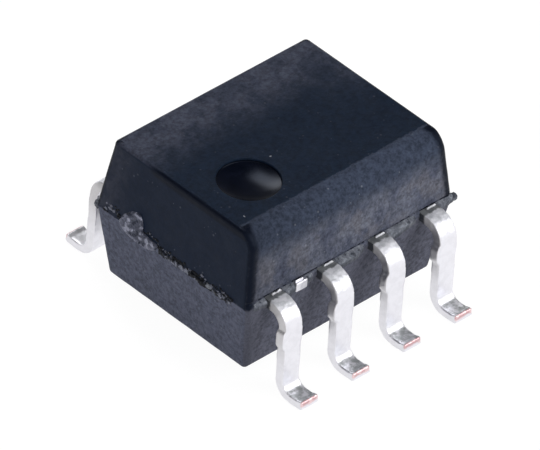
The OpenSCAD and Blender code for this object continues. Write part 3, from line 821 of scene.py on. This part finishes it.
def tinnedCopper():
    material, tree, shader = newMaterial("tinnedCopper")
    place, (x, y, z), normal = placeInMm(tree)
    turn = addNode(tree, "ShaderNodeSeparateXYZ", {0: normal})
    out = calc(tree, "ABSOLUTE", y)
    mottle = fillGroup(tree, tinMottle, {"Place": place})
    patch, grain = mottle.outputs["Patch"], mottle.outputs["Grain"]
    knee = times(tree, between(tree, z, *tin["kneeZ"]), between(tree, out, *tin["kneeOut"], 1, 0))
    fromTie = calc(tree, "ABSOLUTE", calc(tree, "SUBTRACT", x, tin["tieX"]))
    tie = between(tree, fromTie, *tin["tieHalf"], 1, 0)
    knee = times(tree, knee, inverse(tree, tie))
    colour = blendColour(tree, times(tree, knee, between(tree, patch, 0.1, 0.9, 0.8, 0.35)),
                         tin["bright"], tin["grey"])
    # Painted shade: faces turned along the row are greyed, more so high up near the body
    sideFace = between(tree, calc(tree, "ABSOLUTE", turn.outputs[0]), 0.6, 0.9)
    paintedSideShade = times(tree, sideFace, between(tree, z, 0.5, 1.6, 0.25, 0.9))
    colour = blendColour(tree, paintedSideShade, colour, tin["side"])
    # Painted reflection: the upward faces of the feet are darkened for the dark surroundings they mirror, less
    # on the far side
    flat = times(tree, between(tree, turn.outputs[2], 0.8, 0.97), between(tree, z, *tin["footZ"], 1, 0))
    flat = times(tree, flat, between(tree, y, -1.0, 1.0, 1.0, 0.3))
    colour = blendColour(tree, times(tree, flat, between(tree, patch, 0.0, 1.0, 0.7, 0.1)), colour,
                         tin["footTopReflection"])
    tip = times(tree, between(tree, out, *tin["tipOut"]),
                between(tree, calc(tree, "MULTIPLY_ADD", patch, 0.04, z), *tin["tipZ"]))
    bare = blendColour(tree, between(tree, patch, 0.2, 0.8), tin["copperDeep"], tin["copper"])
    colour = blendColour(tree, times(tree, tip, 0.8), colour, bare)
    colour = shaded(tree, colour, between(tree, patch, 0.0, 1.0, 0.95, 1.0))
    # Resin film over each lead's root: grey on its upward faces, painted crevice shade on its other faces
    reach = calc(tree, "MULTIPLY_ADD", patch, 0.03, out)
    film = times(tree, between(tree, reach, tin["filmAndShadeTo"], tin["filmAndShadeTo"] + tin["filmAndShadeFade"], 1, 0),
                 between(tree, z, 1.5, 1.6))
    film = times(tree, film, inverse(tree, calc(tree, "MAXIMUM", tie, painted(tree, "bareMetal"))))
    upward = times(tree, between(tree, turn.outputs[2], 0.3, 0.8), between(tree, patch, 0.0, 0.7, 0.55, 1.0))
    colour = blendColour(tree, film, colour, blendColour(tree, upward, tin["rootCreviceShade"], tin["film"]))
    metal = calc(tree, "MULTIPLY_ADD", calc(tree, "MAXIMUM", knee, flat), -0.45, 1.0)
    tree.links.new(times(tree, metal, inverse(tree, film)), shader.inputs["Metallic"])
    tree.links.new(colour, shader.inputs["Base Color"])
    rough = calc(tree, "MULTIPLY_ADD", knee, tin["roughKnee"] - tin["roughLeg"], tin["roughLeg"])
    rough = calc(tree, "MULTIPLY_ADD", grain, 0.08, rough)
    tree.links.new(rough, shader.inputs["Roughness"])
    addBump(tree, shader, mottle.outputs["Height"], 0.35, 0.008)
    return material


leads = {
    "voxel": 0.018, "relax": 7,  # mm and passes
    "wave": 0.004, "waveSize": 0.2, "lump": 0.006, "lumpSize": 0.07, "kneeZ": (1.55, 1.8),
    "tipSwell": 0.03, "tipOut": (2.93, 3.06), "tipZ": (0.06, 0.14), "soleZ": 0.03, "rootIn": 0.1,
}
tinMaterial = tinnedCopper()


def dressNode(name, material):
    piece = nodes[name]
    if piece.material_slots:
        for held in piece.material_slots:
            held.material = material
    else:
        piece.data.materials.append(material)
    return piece


def makeLead(n):
    # An evenly remeshed, relaxed copy of the solid, remeshed in mm because the remesher's least step needs it
    work = bmesh.new()
    work.from_mesh(nodes[f"lead_{n}"].data)
    bmesh.ops.scale(work, vec=(1 / mm,) * 3, verts=work.verts)
    bmesh.ops.remove_doubles(work, verts=work.verts, dist=1e-4)
    rough = bpy.data.meshes.new("roughLead")
    work.to_mesh(rough)
    work.free()
    holder = bpy.data.objects.new("roughLead", rough)
    bpy.context.scene.collection.objects.link(holder)
    even = holder.modifiers.new("even", "REMESH")
    even.mode, even.voxel_size = "VOXEL", leads["voxel"]
    relax = holder.modifiers.new("relax", "SMOOTH")
    relax.factor, relax.iterations = 0.5, leads["relax"]
    view = bpy.context.evaluated_depsgraph_get()
    soft = holder.evaluated_get(view).to_mesh()
    points = np.zeros(len(soft.vertices) * 3)
    soft.vertices.foreach_get("co", points)
    normals = np.zeros(len(soft.vertices) * 3)
    soft.vertices.foreach_get("normal", normals)
    faces = [tuple(face.vertices) for face in soft.polygons]
    bpy.data.objects.remove(holder)
    points, normals = points.reshape(-1, 3), normals.reshape(-1, 3)
    for i, p in enumerate(points):
        if abs(p[1]) < body["halfWidth"] - leads["rootIn"]:
            continue
        knee = float(easeStep(p[2], *leads["kneeZ"]))
        push = leads["wave"] * ripple(p, leads["waveSize"], 2, n)
        push += leads["lump"] * knee * ripple(p, leads["lumpSize"], 2, n + 9.0)
        if p[2] > leads["soleZ"]:
            points[i] = p + normals[i] * push
        swell = float(easeStep(abs(p[1]), *leads["tipOut"]) * easeStep(p[2], *leads["tipZ"]))
        points[i][2] += leads["tipSwell"] * swell
    piece = makePiece(f"lead{n}", points, faces, [tinMaterial])
    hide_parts(f"lead_{n}")
    return piece


for n in range(1, 9):
    makeLead(n)
print("leads made")

# Bright slivers of plating at the wall, where the flash broke off each lead
sliver = {"from": -0.06, "to": 0.165, "high": 0.062, "deep": 0.03, "z": 1.915, "y": 1.987,
          "tieLip": (-1.40, -1.20), "pinched": 1}


def makeSliver(name, x0, x1, turn, pinch):
    count, around, points = 18, 12, []
    for i in range(count + 1):
        t = i / count
        x = x0 + (x1 - x0) * t
        size = min(1.0, 8 * min(t, 1 - t) + 0.25) * (0.85 + 0.3 * ripple((x, x1, 0), 0.08, 2))
        if pinch:
            size *= min(1.0, 5 * abs(t - 0.5) + 0.1)
        for k in range(around):
            a = 2 * math.pi * k / around
            square = 1 / max(abs(math.cos(a)), abs(math.sin(a))) ** 0.6
            points.append((x * turn, -(sliver["y"] + sliver["deep"] / 2 * math.cos(a) * square) * turn,
                           sliver["z"] + sliver["high"] / 2 * math.sin(a) * square * size))
    piece = makePiece(name, points, ringFaces(count + 1, around), [tinMaterial])
    paint(piece, "bareMetal", [1.0] * len(points))
    return piece


for n in range(1, 9):
    turn = 1 if n < 5 else -1
    middle = leadX(n) * turn
    makeSliver(f"platingSliver{n}", middle + sliver["from"], middle + sliver["to"], turn,
               n == sliver["pinched"])
makeSliver("tieLip", *sliver["tieLip"], 1, False)
print("plating slivers made")

# What the moulding hides
inside = {
    "silicon": {"nodes": ("driver_chip", "detector_chip"),
                "colour": (0.10, 0.11, 0.14), "second": (0.16, 0.17, 0.21), "metal": 0.6, "rough": 0.25},
    "ledCrystal": {"nodes": ("led_chip",), "colour": (0.30, 0.06, 0.06), "second": (0.42, 0.12, 0.10),
                   "metal": 0.0, "rough": 0.3},
    "dieAdhesive": {"nodes": ("led_die_bond", "driver_die_bond", "detector_die_bond"),
                    "colour": (0.45, 0.46, 0.49), "second": (0.62, 0.63, 0.66), "metal": 0.3, "rough": 0.5},
    "polyimideFilm": {"nodes": ("insulating_film",),
                      "colour": (0.60, 0.27, 0.05), "second": (0.72, 0.36, 0.09), "metal": 0.0, "rough": 0.3},
    "goldWire": {"nodes": ("supply_wire_in", "signal_wire_in", "ground_wire_in", "led_cathode_wire",
                           "led_anode_wire", "supply_wire_out", "signal_wire_out", "ground_wire_out"),
                 "colour": (0.85, 0.56, 0.16), "second": (0.95, 0.70, 0.30), "metal": 1.0, "rough": 0.25},
}


def hiddenMaterial(name, look):
    material, tree, shader = newMaterial(name)
    place, _, _ = placeInMm(tree)
    grain = fillGroup(tree, epoxyGrain, {"Place": place, "Grain Size": 0.02, "Mottle Size": 0.12})
    tree.links.new(blendColour(tree, grain.outputs["Mottle"], look["colour"], look["second"]),
                   shader.inputs["Base Color"])
    tree.links.new(calc(tree, "MULTIPLY_ADD", grain.outputs["Speckle"], 0.1, look["rough"]),
                   shader.inputs["Roughness"])
    shader.inputs["Metallic"].default_value = look["metal"]
    addBump(tree, shader, grain.outputs["Height"], 0.2, 0.002)
    return material


def clearSilicone():
    material, tree, shader = newMaterial("clearSilicone")
    place, _, _ = placeInMm(tree)
    grain = fillGroup(tree, epoxyGrain, {"Place": place, "Grain Size": 0.05})
    tree.links.new(blendColour(tree, grain.outputs["Mottle"], (0.86, 0.85, 0.80), (0.92, 0.91, 0.87)),
                   shader.inputs["Base Color"])
    tree.links.new(calc(tree, "MULTIPLY_ADD", grain.outputs["Speckle"], 0.06, 0.1), shader.inputs["Roughness"])
    shader.inputs["Transmission Weight"].default_value = 0.8
    shader.inputs["IOR"].default_value = 1.41
    addBump(tree, shader, grain.outputs["Height"], 0.1, 0.002)
    return material


for name, look in inside.items():
    made = hiddenMaterial(name, look)
    for node in look["nodes"]:
        dressNode(node, made)
dressNode("silicone_light_guide", clearSilicone())
print("inner pieces dressed")

# Floor, surroundings and lamps
studio = {
    "floorRadius": 4.0,  # m
    "floorMiddle": 0.001, "floorZ": -0.002,  # mm, just under the feet
    "floor": (0.80, 0.80, 0.80),
    "showWhite": 0.90, "glow": 1.06,
    "horizon": 1.0, "ceiling": 0.16,
    "fallFrom": 0.07, "fallTo": 0.22,  # height of the view direction
    "window": 6.0, "windowX": (0.215, 0.07, 0.20), "windowY": (0.22, 0.42), "windowZ": (0.30, 0.50),
    "lamps": {"keyLamp": ((0.45, -0.8, 0.75), 1.9, 50), "fillLamp": ((-0.8, -0.5, 0.55), 0.9, 80)},
}


def seenRays(tree):
    path = tree.nodes.new("ShaderNodeLightPath")
    seen = calc(tree, "MAXIMUM", path.outputs["Is Camera Ray"], path.outputs["Is Glossy Ray"])
    return calc(tree, "MAXIMUM", seen, path.outputs["Is Transmission Ray"])


def makeFloor():
    rings, around = 6, 48
    points = []
    for i in range(rings):
        r = studio["floorRadius"] * (i / (rings - 1)) ** 3 if i else studio["floorMiddle"] * mm
        points += [(r * math.cos(2 * math.pi * k / around), r * math.sin(2 * math.pi * k / around),
                    studio["floorZ"] * mm) for k in range(around)]
    faces = [tuple(range(around))]
    for i in range(rings - 1):
        a, b = i * around, (i + 1) * around
        faces += [(a + k, b + k, b + (k + 1) % around, a + (k + 1) % around) for k in range(around)]
    mesh = bpy.data.meshes.new("floor")
    mesh.from_pydata(points, [], faces)
    material = bpy.data.materials.new("floorWhite")
    material.use_nodes = True
    tree = material.node_tree
    tree.nodes.clear()
    matt = addNode(tree, "ShaderNodeBsdfDiffuse", {"Color": (*studio["floor"], 1)})
    shine = addNode(tree, "ShaderNodeEmission", {"Strength": studio["glow"]})
    share = times(tree, seenRays(tree), studio["showWhite"])
    mix = addNode(tree, "ShaderNodeMixShader", {0: share, 1: matt.outputs[0], 2: shine.outputs[0]})
    end = tree.nodes.new("ShaderNodeOutputMaterial")
    tree.links.new(mix.outputs[0], end.inputs[0])
    mesh.materials.append(material)
    floor = bpy.data.objects.new("floor", mesh)
    bpy.context.scene.collection.objects.link(floor)


def lightStudio():
    world = bpy.data.worlds.new("studio")
    bpy.context.scene.world = world
    world.use_nodes = True
    tree = world.node_tree
    tree.nodes.clear()
    coords = tree.nodes.new("ShaderNodeTexCoord")
    split = addNode(tree, "ShaderNodeSeparateXYZ", {0: coords.outputs["Generated"]})
    x, y, z = split.outputs
    level = between(tree, z, studio["fallFrom"], studio["fallTo"], studio["horizon"], studio["ceiling"])
    middle, core, rim = studio["windowX"]
    window = between(tree, calc(tree, "ABSOLUTE", calc(tree, "SUBTRACT", x, middle)), core, rim, 1, 0)
    window = times(tree, window, between(tree, y, *studio["windowY"]))
    window = times(tree, window, between(tree, z, *studio["windowZ"]))
    level = calc(tree, "MULTIPLY_ADD", window, studio["window"], level)
    background = addNode(tree, "ShaderNodeBackground", {"Color": (1, 1, 1, 1), "Strength": level})
    end = tree.nodes.new("ShaderNodeOutputWorld")
    tree.links.new(background.outputs[0], end.inputs[0])
    for name, (source, strength, spread) in studio["lamps"].items():
        lamp = bpy.data.lights.new(name, "SUN")
        lamp.energy, lamp.angle = strength, math.radians(spread)
        held = bpy.data.objects.new(name, lamp)
        held.rotation_mode = "QUATERNION"
        held.rotation_quaternion = Vector(source).to_track_quat("Z", "Y")
        bpy.context.scene.collection.objects.link(held)
    bpy.context.scene.view_settings.view_transform = "Standard"


makeFloor()
lightStudio()
print("studio lit")
